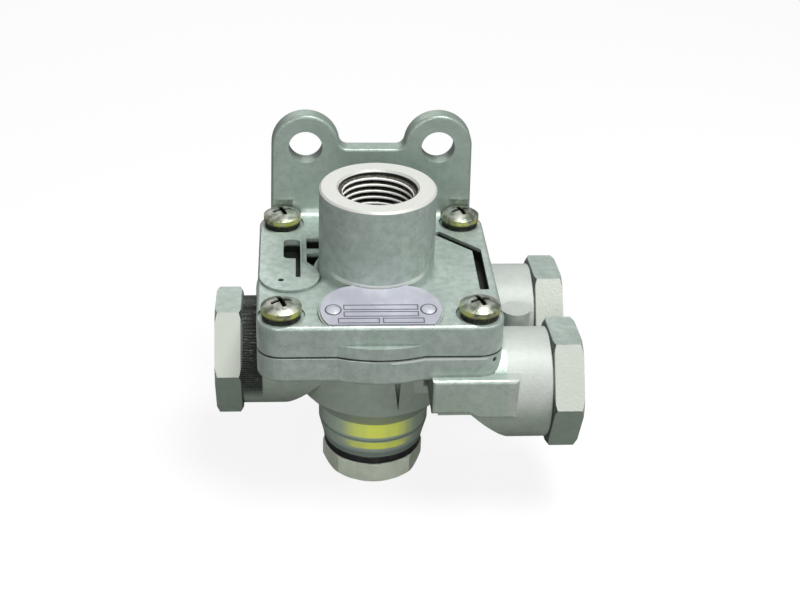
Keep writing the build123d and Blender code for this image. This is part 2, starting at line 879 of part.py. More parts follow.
# Eight-sided hollow nut, its spigot screwed up into the bush
with BuildPart() as exhaust_nut:
    nut_corner_radius = nut_across_flats / 2 / math.cos(math.pi / nut_sides)
    with BuildSketch():
        RegularPolygon(nut_corner_radius, nut_sides)
    extrude(amount=nut_height)
    with BuildSketch(Plane.XZ):
        Polygon(
            (0, 0),
            (nut_corner_radius - nut_corner_cut, 0),
            (nut_corner_radius, nut_corner_cut),
            (nut_corner_radius, nut_height - nut_corner_cut / 2),
            (nut_corner_radius - nut_corner_cut / 2, nut_height),
            (0, nut_height),
            align=None,
        )
    revolve(axis=Axis.Z, mode=Mode.INTERSECT)
    with BuildSketch(Plane.XY.offset(nut_height)):
        Circle(nut_thread_radius)
    extrude(amount=nut_spigot_top - nut_height)
    with BuildSketch():
        Circle(nut_bore_radius)
    extrude(amount=nut_spigot_top, mode=Mode.SUBTRACT)
exhaust_nut.part.label = "exhaust_nut"
export_step(exhaust_nut.part, "parts/exhaust_nut.step")
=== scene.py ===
# %% [markdown]
# # A quick release valve, dressed over its measured parts
# The valve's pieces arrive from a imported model: two castings, screws, a bush, a nut and rubber
# rings. They have their true size and place. This lesson leaves them where they are and gives
# each one its finish, then adds what is too fine for the solids: pipe threads and the ruled
# fields on the rating plate. Blender works in metres, so MM turns millimetres into metres.

# %% Load the frame
import math

import bmesh
import bpy
from mathutils import Matrix, Vector


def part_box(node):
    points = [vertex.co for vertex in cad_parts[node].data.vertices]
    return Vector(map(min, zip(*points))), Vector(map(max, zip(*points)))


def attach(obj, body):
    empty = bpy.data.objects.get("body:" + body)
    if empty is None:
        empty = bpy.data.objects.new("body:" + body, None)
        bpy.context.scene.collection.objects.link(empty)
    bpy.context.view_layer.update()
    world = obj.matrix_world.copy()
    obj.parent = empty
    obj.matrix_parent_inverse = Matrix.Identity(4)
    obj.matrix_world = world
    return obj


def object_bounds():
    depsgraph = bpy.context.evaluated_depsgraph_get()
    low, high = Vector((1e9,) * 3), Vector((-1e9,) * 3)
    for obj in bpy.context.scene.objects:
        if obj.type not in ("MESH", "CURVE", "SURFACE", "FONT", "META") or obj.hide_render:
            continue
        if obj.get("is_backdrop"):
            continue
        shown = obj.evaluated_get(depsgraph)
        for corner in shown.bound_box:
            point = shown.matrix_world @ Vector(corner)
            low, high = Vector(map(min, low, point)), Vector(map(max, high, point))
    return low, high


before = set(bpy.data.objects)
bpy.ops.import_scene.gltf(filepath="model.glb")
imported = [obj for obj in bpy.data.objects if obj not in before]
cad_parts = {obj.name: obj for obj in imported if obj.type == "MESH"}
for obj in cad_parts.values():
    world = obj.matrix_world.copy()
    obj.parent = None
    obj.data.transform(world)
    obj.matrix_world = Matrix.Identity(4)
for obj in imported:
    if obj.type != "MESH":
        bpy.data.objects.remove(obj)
cad_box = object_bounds()
MM = 0.001
print("pieces in the frame:", len(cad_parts))

# %% [markdown]
# ## Heights that everything else hangs from
# The valve stands on its nut, so height 0 is the nut's lower face. The joint face between body
# and cover is the body's upper face. Reading these from the frame keeps every later mask and
# thread in step with the solids. The main axis is the line x = 0, y = 0, and the front of the
# valve looks along -y.

# %% Heights and radii
def box_of(node):
    low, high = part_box(node)
    return Vector(low), Vector(high)


body_low, body_high = box_of("valve_body")
plate_low = box_of("rating_plate")[0]
cover_high = box_of("top_cover")[1]

JOINT_HEIGHT = body_high.z
COVER_TOP = plate_low.z
PORT_AXIS = JOINT_HEIGHT - 15.75 * MM
PORT_SPREAD = 17.7 * MM
INLET_TOP = JOINT_HEIGHT + 33.7 * MM
INLET_RADIUS = 15.5 * MM
SEAT_FRONT = -29.6 * MM
SEAT_SLOPE = math.radians(9.6)
BRACKET_THICKNESS = 5.4 * MM
BRACKET_FRONT = cover_high.y - BRACKET_THICKNESS
RIGHT_HEX_START = 45.2 * MM
LEFT_HEX_START = -36.2 * MM
NECK_RADIUS = 14.8 * MM
LEFT_MOUTH = body_low.x
RIGHT_MOUTH = body_high.x
print("joint face at", round(JOINT_HEIGHT / MM, 2), "mm")
print("cover top at", round(COVER_TOP / MM, 2), "mm")

# %% [markdown]
# ## The camera
# The photograph looks down at about 30 degrees from slightly left of centre, through a long
# lens. A camera aimed by hand never quite lands there, so its place is worked out the way a
# surveyor would: the direction from the target to the camera by two angles, the distance, then
# a small roll about the line of sight. The focal length is in pixels of an 800 pixel wide frame.

# %% Place the camera
TURN_LEFT = math.radians(4.58)
LOOK_DOWN = math.radians(29.77)
ROLL = math.radians(1.93)
DISTANCE = 403.0 * MM
TARGET = Vector((6.70 * MM, 0, JOINT_HEIGHT - 0.53 * MM))
FRAME_WIDTH_PX = 800
FOCAL_PX = 1474.0
SENSOR_WIDTH = 36.0


def add_object(name, data):
    """Put a mesh, a lamp or a camera into the scene."""
    thing = bpy.data.objects.new(name, data)
    bpy.context.scene.collection.objects.link(thing)
    return thing


backward = Vector(
    (
        -math.sin(TURN_LEFT) * math.cos(LOOK_DOWN),
        -math.cos(TURN_LEFT) * math.cos(LOOK_DOWN),
        math.sin(LOOK_DOWN),
    )
)
level_right = Vector((math.cos(TURN_LEFT), -math.sin(TURN_LEFT), 0))
level_up = backward.cross(level_right)
right = math.cos(ROLL) * level_right + math.sin(ROLL) * level_up
up = -math.sin(ROLL) * level_right + math.cos(ROLL) * level_up

camera_data = bpy.data.cameras.new("studio_camera")
camera_data.sensor_width = SENSOR_WIDTH
camera_data.lens = FOCAL_PX * SENSOR_WIDTH / FRAME_WIDTH_PX
camera = add_object("studio_camera", camera_data)
turned = Matrix((right, up, backward)).transposed().to_4x4()
camera.matrix_world = Matrix.Translation(TARGET + DISTANCE * backward) @ turned
bpy.context.scene.camera = camera
print("lens", round(camera_data.lens, 1), "mm")

# %% [markdown]
# ## The studio: a white surround
# The photograph was cut out on white. Light Path lets a node tree ask whether the camera is
# looking, so the world can seem white to the camera and still add only a moderate light to the
# object, whose undersides stay as dark as the photograph shows them.

# %% World
WORLD_LIGHT = 0.24
WORLD_SEEN = 0.90
WHITE = (1, 1, 1, 1)


def camera_sees(tree, unseen, seen):
    """A number that the camera reads as seen and every other ray reads as unseen."""
    path = tree.nodes.new("ShaderNodeLightPath")
    tone = tree.nodes.new("ShaderNodeMapRange")
    tone.inputs["To Min"].default_value = unseen
    tone.inputs["To Max"].default_value = seen
    tree.links.new(path.outputs["Is Camera Ray"], tone.inputs["Value"])
    return tone.outputs["Result"]


world = bpy.data.worlds.new("studio_world")
bpy.context.scene.world = world
world.use_nodes = True
world_tree = world.node_tree
world_back = world_tree.nodes["Background"]
world_back.inputs["Color"].default_value = WHITE
world_strength = camera_sees(world_tree, WORLD_LIGHT, WORLD_SEEN)
world_tree.links.new(world_strength, world_back.inputs["Strength"])
print("world lights at", WORLD_LIGHT, "and looks", WORLD_SEEN)

# %% [markdown]
# ## The studio: four soft lamps
# The valve was lit from above by something large and soft, with a weaker light on its front.
# Four round area lamps do that here. A large disk close by gives soft shadows and broad, quiet
# highlights, where a point lamp would give hard sparks. All four aim at the joint face.

# %% Lamps
LAMPS = (
    # name, place and diameter in metres, power in watts
    ("top_softbox", (0.14, -0.16, 0.66), 0.30, 5.2),
    ("front_softbox", (-0.16, -0.66, 0.26), 0.30, 1.55),
    ("right_fill", (0.55, -0.30, 0.30), 0.30, 0.5),
    ("back_softbox", (-0.10, 0.60, 0.42), 0.50, 0.75),
)
LAMP_AIM = Vector((0, 0, JOINT_HEIGHT))

for name, place, diameter, power in LAMPS:
    data = bpy.data.lights.new(name, "AREA")
    data.shape = "DISK"
    data.size = diameter
    data.energy = power
    lamp = add_object(name, data)
    lamp.location = place
    lamp.rotation_euler = (LAMP_AIM - Vector(place)).to_track_quat("-Z", "Y").to_euler()
    print(name, power, "W")

# %% [markdown]
# ## The studio: the floor
# One large plane, so wide that no horizon shows. To the camera it is mostly a white glow with a
# little matt surface left in it, which keeps the valve's shadow. To every other ray it is a
# dull grey, so it doesn't flood the undersides with light. It lies a hair below the nut,
# because two faces in one plane flicker.

# %% Floor
FLOOR_GLOW = 0.86
FLOOR_BOUNCE = 0.22
FLOOR_WHITE = 0.86
FLOOR_SIZE = 6.0
FLOOR_GAP = 0.05 * MM

half = FLOOR_SIZE / 2
outline = ((-half, -half), (half, -half), (half, half), (-half, half))
corners = [(x, y, -FLOOR_GAP) for x, y in outline]
floor_mesh = bpy.data.meshes.new("studio_floor")
floor_mesh.from_pydata(corners, [], [(0, 1, 2, 3)])
floor = add_object("studio_floor", floor_mesh)
floor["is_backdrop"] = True

floor_paint = bpy.data.materials.new("studio_floor")
floor_paint.use_nodes = True
floor_tree = floor_paint.node_tree
floor_tree.nodes.clear()
floor_out = floor_tree.nodes.new("ShaderNodeOutputMaterial")
floor_mix = floor_tree.nodes.new("ShaderNodeMixShader")
floor_matt = floor_tree.nodes.new("ShaderNodeBsdfDiffuse")
floor_glow = floor_tree.nodes.new("ShaderNodeEmission")
floor_glow.inputs["Strength"].default_value = 1.0
for source, target in (
    (camera_sees(floor_tree, FLOOR_BOUNCE, FLOOR_WHITE), floor_matt.inputs["Color"]),
    (camera_sees(floor_tree, 0.0, FLOOR_GLOW), floor_mix.inputs["Fac"]),
    (floor_matt.outputs[0], floor_mix.inputs[1]),
    (floor_glow.outputs[0], floor_mix.inputs[2]),
    (floor_mix.outputs[0], floor_out.inputs["Surface"]),
):
    floor_tree.links.new(source, target)
floor_mesh.materials.append(floor_paint)
print("floor", FLOOR_SIZE, "m wide")

# %% [markdown]
# ## A small toolkit for procedural finishes
# Every finish below is the Principled shader fed by noise and by masks. A mask answers a plain
# question about a point on the valve, such as how far it is from the main axis, so a bright
# turned face or a dark recess lands on the right part of one casting. Object coordinates are
# used because they stay with the piece when it moves. A class holds the tree and the shader, so
# each finish reads as a list of what is laid on it.

# %% Finish helpers
OPEN_CORNER = 0.72
DEEP_CORNER = 0.25
CORNER_SAMPLES = 6
NOISE_ROUGHNESS = 0.55


class Finish:
    """A material under construction: its node tree, its shader and its coordinates."""

    # A Mix node shows other sockets for each kind of value: two inputs and the result.
    MIX_SOCKETS = {"FLOAT": (2, 3, 0), "RGBA": (6, 7, 2)}

    def __init__(self, name):
        self.material = bpy.data.materials.new(name)
        self.material.use_nodes = True
        self.tree = self.material.node_tree
        self.shader = self.tree.nodes["Principled BSDF"]
        self.coords = self.tree.nodes.new("ShaderNodeTexCoord")
        self.x, self.y, self.z = self.split(self.coords.outputs["Object"])

    def feed(self, socket, value):
        """Give a socket a number, a colour (r, g, b) or an earlier result."""
        if isinstance(value, tuple):
            socket.default_value = (*value, 1.0)
        elif isinstance(value, (int, float)):
            socket.default_value = value
        else:
            self.tree.links.new(value, socket)

    def set(self, socket, value):
        """Feed one of the shader's own sockets, by its name."""
        self.feed(self.shader.inputs[socket], value)

    def split(self, vector):
        """The x, y and z of a vector."""
        node = self.tree.nodes.new("ShaderNodeSeparateXYZ")
        self.tree.links.new(vector, node.inputs[0])
        return node.outputs

    def math(self, operation, first, second=0.0):
        """One step of arithmetic on numbers or earlier results."""
        node = self.tree.nodes.new("ShaderNodeMath")
        node.operation = operation
        self.feed(node.inputs[0], first)
        self.feed(node.inputs[1], second)
        return node.outputs[0]

    def ramp(self, value, low, high):
        """0 below low, 1 above high, smooth between. low may be the larger one."""
        node = self.tree.nodes.new("ShaderNodeMapRange")
        node.interpolation_type = "SMOOTHSTEP"
        self.tree.links.new(value, node.inputs["Value"])
        node.inputs["From Min"].default_value = low
        node.inputs["From Max"].default_value = high
        return node.outputs["Result"]

    def band(self, value, low, high, soft):
        """1 between low and high, falling to 0 over a soft edge on both sides."""
        return self.both(self.ramp(value, low - soft, low), self.ramp(value, high + soft, high))

    def both(self, *masks):
        """1 where every mask is 1."""
        result = masks[0]
        for mask in masks[1:]:
            result = self.math("MULTIPLY", result, mask)
        return result

    def either(self, *masks):
        """1 where any mask is 1."""
        result = masks[0]
        for mask in masks[1:]:
            result = self.math("MAXIMUM", result, mask)
        return result

    def waves(self, value, length):
        """A sine that rises and falls once in every length of the value."""
        return self.math("SINE", self.math("MULTIPLY", value, 2 * math.pi / length))

    def from_axis(self, first, second, first_centre=0.0, second_centre=0.0):
        """Distance from a line, given the two coordinates square to it."""
        a = self.math("SUBTRACT", first, first_centre)
        b = self.math("SUBTRACT", second, second_centre)
        squares = self.math("ADD", self.math("MULTIPLY", a, a), self.math("MULTIPLY", b, b))
        return self.math("SQRT", squares)

    def facing(self):
        """The direction each face looks in, as three numbers from -1 to 1."""
        geometry = self.tree.nodes.new("ShaderNodeNewGeometry")
        return self.split(geometry.outputs["True Normal"])

    def noise(self, grain, detail=4.0, stretch=(1, 1, 1), seed=0.0):
        """Noise whose blobs measure about grain metres."""
        mapping = self.tree.nodes.new("ShaderNodeMapping")
        mapping.inputs["Scale"].default_value = tuple(s / grain for s in stretch)
        mapping.inputs["Location"].default_value = (seed, seed, seed)
        self.tree.links.new(self.coords.outputs["Object"], mapping.inputs["Vector"])
        node = self.tree.nodes.new("ShaderNodeTexNoise")
        node.inputs["Scale"].default_value = 1.0
        node.inputs["Detail"].default_value = detail
        node.inputs["Roughness"].default_value = NOISE_ROUGHNESS
        self.tree.links.new(mapping.outputs[0], node.inputs["Vector"])
        return node.outputs["Fac"]

    def patches(self, grain, low, high, **options):
        """Noise parted into patches: 0 where it is below low, 1 where it is above high."""
        return self.ramp(self.noise(grain, **options), low, high)

    def crevices(self, reach):
        """1 deep in a corner, 0 in the open, from how much of the surroundings is covered."""
        node = self.tree.nodes.new("ShaderNodeAmbientOcclusion")
        node.samples = CORNER_SAMPLES
        node.inputs["Distance"].default_value = reach
        return self.ramp(node.outputs["AO"], OPEN_CORNER, DEEP_CORNER)

    def mix_node(self, kind, factor, first, second):
        """The first where the factor is 0, the second where it is 1."""
        node = self.tree.nodes.new("ShaderNodeMix")
        node.data_type = kind
        first_socket, second_socket, result = self.MIX_SOCKETS[kind]
        self.feed(node.inputs[0], factor)
        self.feed(node.inputs[first_socket], first)
        self.feed(node.inputs[second_socket], second)
        return node.outputs[result]

    def mix(self, factor, first, second):
        """Mix two colours."""
        return self.mix_node("RGBA", factor, first, second)

    def blend(self, factor, first, second):
        """Mix two numbers."""
        return self.mix_node("FLOAT", factor, first, second)

    def lay(self, colour, paint, mask, share):
        """Lay a paint over a colour where the mask is 1, hiding that share of it."""
        return self.mix(self.math("MULTIPLY", mask, share), colour, paint)

    def bump(self, height, distance):
        """Raise the surface by height times distance metres. A second call adds to the first."""
        node = self.tree.nodes.new("ShaderNodeBump")
        node.inputs["Strength"].default_value = 1.0
        node.inputs["Distance"].default_value = distance
        self.tree.links.new(height, node.inputs["Height"])
        if self.shader.inputs["Normal"].is_linked:
            earlier = self.shader.inputs["Normal"].links[0].from_socket
            self.tree.links.new(earlier, node.inputs["Normal"])
        self.tree.links.new(node.outputs[0], self.shader.inputs["Normal"])


def wear(node, finish):
    """Give a frame piece its finish."""
    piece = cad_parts[node]
    piece.data.materials.clear()
    piece.data.materials.append(finish.material)
    print(node, "wears", finish.material.name)

# %% [markdown]
# ## Cast aluminium
# A die casting is grey with a faint green cast from the oil and sealer it was dipped in. It is
# satin, not shiny: light spreads over it, and it is mottled at three sizes, from clouds of
# several millimetres to a fine grain of half a millimetre. It turns olive towards the bottom.
# Its corners get painted shade, found by asking how much of a point's surroundings is covered,
# and oil creeps out of the joint between the two castings. Body and cover share one recipe, so
# a function makes it and each casting then gets its own areas.

# %% Casting colours and sizes
CAST_DARK = (0.21, 0.275, 0.225)
CAST_MID = (0.355, 0.42, 0.385)
CAST_PALE = (0.44, 0.515, 0.475)
CAST_OLIVE = (0.37, 0.44, 0.34)
GRIME_AND_SHADE = (0.016, 0.020, 0.016)
CLOUD_SIZE = 9 * MM
BLOTCH_SIZE = 2.2 * MM
GRAIN_SIZE = 0.5 * MM
SAND_SIZE = 0.7 * MM
SAND_HEIGHT = 0.09 * MM
CORNER_REACH = 2.0 * MM
OLIVE_TOP = JOINT_HEIGHT - 2 * MM
OLIVE_FULL = JOINT_HEIGHT - 16 * MM
JOINT_LINE = 0.22 * MM
FLANGE_EDGE = 32.6 * MM
CAST_METAL = 0.45
print("a casting is", CAST_METAL, "metallic")

# %% Casting recipe
def cast_aluminium(name):
    """The shared casting finish. Returns the finish and its colour, for more to be laid on."""
    cast = Finish(name)
    clouds = cast.patches(CLOUD_SIZE, 0.30, 0.70, detail=2)
    blotches = cast.patches(BLOTCH_SIZE, 0.35, 0.68, detail=3, seed=7.0)
    grain = cast.patches(GRAIN_SIZE, 0.30, 0.70, detail=2, seed=3.0)
    low = cast.ramp(cast.z, OLIVE_TOP, OLIVE_FULL)
    joint = cast.both(
        cast.band(cast.z, JOINT_HEIGHT - JOINT_LINE, JOINT_HEIGHT + JOINT_LINE, 0.15 * MM),
        cast.band(cast.x, -FLANGE_EDGE, FLANGE_EDGE, 0.1 * MM),
    )
    colour = cast.mix(clouds, CAST_MID, CAST_PALE)
    colour = cast.lay(colour, CAST_DARK, blotches, share=0.48)
    colour = cast.lay(colour, CAST_PALE, grain, share=0.36)
    colour = cast.lay(colour, CAST_OLIVE, low, share=0.5)
    # Painted shade in the corners, where much of the surroundings is covered.
    colour = cast.lay(colour, GRIME_AND_SHADE, cast.crevices(CORNER_REACH), share=0.8)
    colour = cast.lay(colour, GRIME_AND_SHADE, joint, share=0.85)
    cast.set("Metallic", CAST_METAL)
    cast.set("Roughness", cast.blend(blotches, 0.36, 0.46))
    cast.bump(cast.noise(SAND_SIZE, detail=3, seed=5.0), SAND_HEIGHT)
    return cast, colour


body, body_colour = cast_aluminium("cast_body")
cover, cover_colour = cast_aluminium("cast_cover")
print("castings:", body.material.name, cover.material.name)

# %% [markdown]
# ## The body: inside the ports
# The inside of each port gets painted shade, because it is deep, and oil darkens it too. A port
# is a bore along x, so a mask needs two things: the distance from the bore's axis, and how far in
# from the mouth the point is. The left port lies in the middle plane and the two right ports on
# either side of it.

# %% Port masks
THREAD_ROOT = 10.48 * MM
BORE_EDGE = THREAD_ROOT + 0.12 * MM
BORE_SOFT = 0.2 * MM
BORE_FADE = 1 * MM
LEFT_BORE_END = -21 * MM
RIGHT_BORE_END = 33 * MM


def from_port(across):
    """Distance from the axis of the side port that lies this far behind the middle plane."""
    return body.from_axis(body.y, body.z, across, PORT_AXIS)


def within_bore(distance):
    """1 where the distance is less than the bore's radius."""
    return body.ramp(distance, BORE_EDGE + BORE_SOFT, BORE_EDGE)


left_distance = from_port(0.0)
# Painted shade inside the bores.
in_left = body.both(
    within_bore(left_distance),
    body.ramp(body.x, LEFT_BORE_END, LEFT_BORE_END - BORE_FADE),
)
in_right = body.both(
    body.either(within_bore(from_port(-PORT_SPREAD)), within_bore(from_port(PORT_SPREAD))),
    body.ramp(body.x, RIGHT_BORE_END, RIGHT_BORE_END + BORE_FADE),
)
print("bores are dark inside", round(BORE_EDGE / MM, 2), "mm radius")

# %% [markdown]
# ## The body: hexagons and turned necks
# The hexagons are milled. The flats that look up and to the side get a painted highlight, and
# those that look down get painted shade. A mask from the face's own direction finds them. The
# right necks are turned, and their tops get a painted highlight. Painted shade fills the corner
# where a hexagon starts, and its whole back.

# %% Hexagons and necks
FLAT_HIGHLIGHT = (0.45, 0.47, 0.42)
HEX_SHADE = (0.10, 0.16, 0.10)
NECK_HIGHLIGHT = (0.41, 0.42, 0.40)
HEX_SOFT = 0.5 * MM
SEAM = 0.2 * MM
NECK_START = 32.5 * MM
NECK_FULL = 33.5 * MM
# How far a face's direction leans along an axis: where a mask begins, and where it is full.
LEANS_ASIDE = (0.6, 0.8)
LEANS_UP = (0.2, 0.4)
LEANS_DOWN = (-0.2, -0.4)
NOT_DOWN = (-0.3, 0.3)
LEANS_LEFT = (-0.25, -0.45)
LEANS_RIGHT = (0.25, 0.45)
FACES_FRONT = (-0.8, -0.95)

face_x, face_y, face_z = body.facing()
on_right_hex = body.ramp(body.x, RIGHT_HEX_START - HEX_SOFT, RIGHT_HEX_START)
on_left_hex = body.ramp(body.x, LEFT_HEX_START + HEX_SOFT, LEFT_HEX_START)
on_hexagon = body.either(on_right_hex, on_left_hex)
side_flat = body.ramp(body.math("ABSOLUTE", face_y), *LEANS_ASIDE)
# Painted highlight on the flats that look up and to the side, painted shade on those that look
# down.
lit_flats = body.both(on_hexagon, side_flat, body.ramp(face_z, *LEANS_UP))
underside = body.both(on_hexagon, body.ramp(face_z, *LEANS_DOWN))
# The turned tops of the right necks, which get a painted highlight.
turned_neck_highlight = body.both(
    body.ramp(body.x, NECK_START, NECK_FULL),
    body.ramp(body.x, RIGHT_HEX_START, RIGHT_HEX_START - HEX_SOFT),
    body.ramp(face_z, *NOT_DOWN),
)
# Painted shade at the back of each hexagon and in the corner where it starts.
back_of_hexagon = body.either(
    body.both(on_right_hex, body.ramp(face_x, *LEANS_LEFT)),
    body.both(on_left_hex, body.ramp(face_x, *LEANS_RIGHT)),
)
hexagon_starts = (RIGHT_HEX_START, LEFT_HEX_START)
seam_lines = [body.band(body.x, x - SEAM, x + SEAM, SEAM) for x in hexagon_starts]
hexagon_shade = body.math("MULTIPLY", body.either(*seam_lines, back_of_hexagon), 0.8)

body_colour = body.lay(body_colour, FLAT_HIGHLIGHT, lit_flats, share=0.9)
body_colour = body.lay(body_colour, HEX_SHADE, underside, share=0.3)
body_colour = body.lay(body_colour, NECK_HIGHLIGHT, turned_neck_highlight, share=0.7)
print("seams:", len(seam_lines))

# %% [markdown]
# ## The body: painted shadow on the left neck
# The neck behind the left hexagon carries a black, finely ribbed band of painted shadow where
# it hides under the cover. It sits on the skin, so it is paint and bump and not a piece of its
# own. A sine along the height gives the ribs, and two noises let their crests show through the
# shadow in broken patches.

# %% Ribbed shadow
RIB = 0.62 * MM
RIB_HEIGHT = 0.08 * MM
CREST_SHADOW_SHARE = 0.55
SHADOW_END = -30.5 * MM
SHADOW_LOW = PORT_AXIS - 9 * MM
SHADOW_FULL = PORT_AXIS - 3 * MM

ribs = body.waves(body.z, RIB)
# Painted shadow on the left neck, lighter on broken patches of the rib crests.
left_band = body.both(
    body.ramp(body.x, SHADOW_END, SHADOW_END - 0.5 * MM),
    body.band(left_distance, NECK_RADIUS - 0.3 * MM, NECK_RADIUS + 0.3 * MM, 0.1 * MM),
    body.ramp(body.x, LEFT_HEX_START, LEFT_HEX_START + 0.3 * MM),
    body.ramp(body.z, SHADOW_LOW, SHADOW_FULL),
)
lighter_crests = body.both(
    body.ramp(ribs, 0.2, 0.9),
    body.patches(0.8 * MM, 0.52, 0.62, detail=2, seed=11.0),
    body.patches(2 * MM, 0.40, 0.62, detail=2, seed=9.0),
)
left_neck_shadow = body.both(left_band, body.blend(lighter_crests, 1.0, CREST_SHADOW_SHARE))
print("ribs every", round(RIB / MM, 2), "mm")

# %% [markdown]
# ## The body: three small marks
# Under the joint, on the right, the flange's lip gets a painted highlight. Near its right end
# is a dark dot: the painted shade of the small hole that a pin of the mould leaves, too small to
# model. Where the front passage block meets the round casing, painted shade stands in the
# corner as an upright streak.

# %% Small marks
LIP_HIGHLIGHT = (0.78, 0.80, 0.78)
LIP_TOP = JOINT_HEIGHT - 0.55 * MM
LIP_WIDTH = 0.40 * MM
LIP_START = 3 * MM
LIP_END = 27 * MM
MARK_X = 29.4 * MM
MARK_HEIGHT = JOINT_HEIGHT - 1.6 * MM
MARK_RADIUS = 0.45 * MM
MARK_FRONT = -29 * MM
BLOCK_START = 13.3 * MM
STREAK_TOP = JOINT_HEIGHT - 7.5 * MM
STREAK_BOTTOM = JOINT_HEIGHT - 16.0 * MM
STREAK_WIDTH = 0.95 * MM

# Painted highlight on the front of the flange's lip.
lip_highlight = body.both(
    body.band(body.z, LIP_TOP - LIP_WIDTH, LIP_TOP, 0.15 * MM),
    body.band(body.x, LIP_START, LIP_END, 1 * MM),
    body.ramp(face_y, *FACES_FRONT),
)
# Painted shade of the mould pin's small hole.
from_mark = body.from_axis(body.x, body.z, MARK_X, MARK_HEIGHT)
pin_hole_shade = body.both(
    body.ramp(from_mark, MARK_RADIUS + 0.3 * MM, MARK_RADIUS),
    body.ramp(body.y, MARK_FRONT + 1 * MM, MARK_FRONT),
)
# Painted shade standing in the corner as an upright streak.
streak_end = BLOCK_START + 0.05 * MM
corner_shade = body.both(
    body.band(body.x, streak_end - STREAK_WIDTH, streak_end, 0.25 * MM),
    body.ramp(body.y, -17 * MM, -19 * MM),
    body.band(body.z, STREAK_BOTTOM, STREAK_TOP, 1.0 * MM),
)
corner_shade = body.math("MULTIPLY", corner_shade, 0.8)
body_colour = body.lay(body_colour, LIP_HIGHLIGHT, lip_highlight, share=0.8)
print("core mark at", round(MARK_X / MM, 1), "mm")

# %% [markdown]
# Now the areas come together. All the painted shade is one mask, the shader gets its colour,
# metal and roughness, and the turning marks run round the necks: noise stretched a long way
# along y and z, and hardly along x, looks like the fine lines that a tool leaves.

# %% Put the body's finish together
TURNING_STRETCH = (1, 0.02, 0.02)
TURNING_LINE = 0.3 * MM
TURNING_DEPTH = 0.02 * MM
# All the painted shade on the body, laid as one mask.
body_shade = body.either(in_left, in_right, left_neck_shadow, hexagon_shade, pin_hole_shade, corner_shade)
body.set("Base Color", body.mix(body_shade, body_colour, GRIME_AND_SHADE))
body.set("Metallic", body.blend(lit_flats, body.blend(turned_neck_highlight, CAST_METAL, 0.20), 0.20))
body.set("Roughness", body.blend(turned_neck_highlight, 0.42, 0.58))
body.bump(body.both(ribs, left_band), RIB_HEIGHT)
turning = body.noise(TURNING_LINE, detail=2, stretch=TURNING_STRETCH, seed=2.0)
body.bump(body.both(turning, turned_neck_highlight), TURNING_DEPTH)
wear("valve_body", body)

# %% [markdown]
# ## The cover: inlet and recesses
# Its inlet face is turned flat and is nearly white, with fine rings left by the tool. The bore
# below it gets painted shade at the thread's root. The groove and the pockets on top get black
# painted shade at the bottom. A mask finds them without knowing their shapes: they are inside
# the cover's outline and below its top face, and nothing else is.

# %% Inlet and recesses
MACHINED = (0.50, 0.51, 0.475)
TOOL_RING = 0.35 * MM
TOOL_RING_DEPTH = 0.006 * MM
RECESS_START = COVER_TOP - 0.5 * MM
RECESS_FULL = COVER_TOP - 1.4 * MM
OUTLINE_X = 30.4 * MM
OUTLINE_FRONT = -23.5 * MM
OUTLINE_BACK = 30.5 * MM

axis_distance = cover.from_axis(cover.x, cover.y)
turned_face = cover.both(
    cover.ramp(cover.z, INLET_TOP - 0.75 * MM, INLET_TOP - 0.70 * MM),
    cover.ramp(axis_distance, INLET_RADIUS + 1 * MM, INLET_RADIUS + 0.9 * MM),
)
# Painted shade in the inlet bore, and in the groove and pockets on top.
inlet_shade = cover.both(
    cover.ramp(axis_distance, BORE_EDGE + 0.1 * MM, BORE_EDGE),
    cover.ramp(cover.z, INLET_TOP - 0.55 * MM, INLET_TOP - 0.65 * MM),
)
recess_shade = cover.both(
    cover.ramp(cover.math("ABSOLUTE", cover.x), OUTLINE_X + 0.2 * MM, OUTLINE_X),
    cover.ramp(cover.y, OUTLINE_FRONT - 0.5 * MM, OUTLINE_FRONT),
    cover.ramp(cover.y, OUTLINE_BACK + 0.5 * MM, OUTLINE_BACK),
    cover.ramp(cover.z, RECESS_START, RECESS_FULL),
)
print("inlet face at", round(INLET_TOP / MM, 1), "mm")

# %% [markdown]
# ## The cover: foot of the boss and bracket
# The plate's seat slopes up to the boss, and the corner between them gets a painted highlight at
# the front. Its height follows the slope, so the mask measures from the slope and not from the
# ground. The upright bracket has a duller, darker skin than the rest.

# %% Foot, bracket and finish
FOOT_HIGHLIGHT = (0.80, 0.82, 0.80)
BRACKET_DULL = (0.24, 0.30, 0.255)
FOOT_BACK = -8 * MM
FOOT_FULL = -12 * MM
BRACKET_FOOT = COVER_TOP + 1 * MM
BRACKET_FULL = COVER_TOP + 4 * MM

from_front = cover.math("SUBTRACT", cover.y, SEAT_FRONT)
seat_height = cover.math("MULTIPLY", from_front, math.tan(SEAT_SLOPE))
above_top = cover.math("SUBTRACT", cover.z, COVER_TOP)
above_seat = cover.math("SUBTRACT", above_top, seat_height)
# Painted highlight on the front of the boss's foot.
boss_foot_highlight = cover.both(
    cover.band(above_seat, 0.1 * MM, 1.0 * MM, 0.4 * MM),
    cover.band(axis_distance, INLET_RADIUS - 0.2 * MM, INLET_RADIUS + 0.6 * MM, 0.2 * MM),
    cover.ramp(cover.y, FOOT_BACK, FOOT_FULL),
)
bracket_skin = cover.both(
    cover.ramp(cover.y, BRACKET_FRONT - 0.2 * MM, BRACKET_FRONT + 0.2 * MM),
    cover.ramp(cover.z, BRACKET_FOOT, BRACKET_FULL),
)
cover_colour = cover.lay(cover_colour, FOOT_HIGHLIGHT, boss_foot_highlight, share=0.8)
cover_colour = cover.lay(cover_colour, BRACKET_DULL, bracket_skin, share=0.8)
cover_colour = cover.mix(cover.either(inlet_shade, recess_shade), cover_colour, GRIME_AND_SHADE)
cover.set("Base Color", cover.mix(turned_face, cover_colour, MACHINED))
cover.set("Metallic", cover.blend(turned_face, CAST_METAL, 0.15))
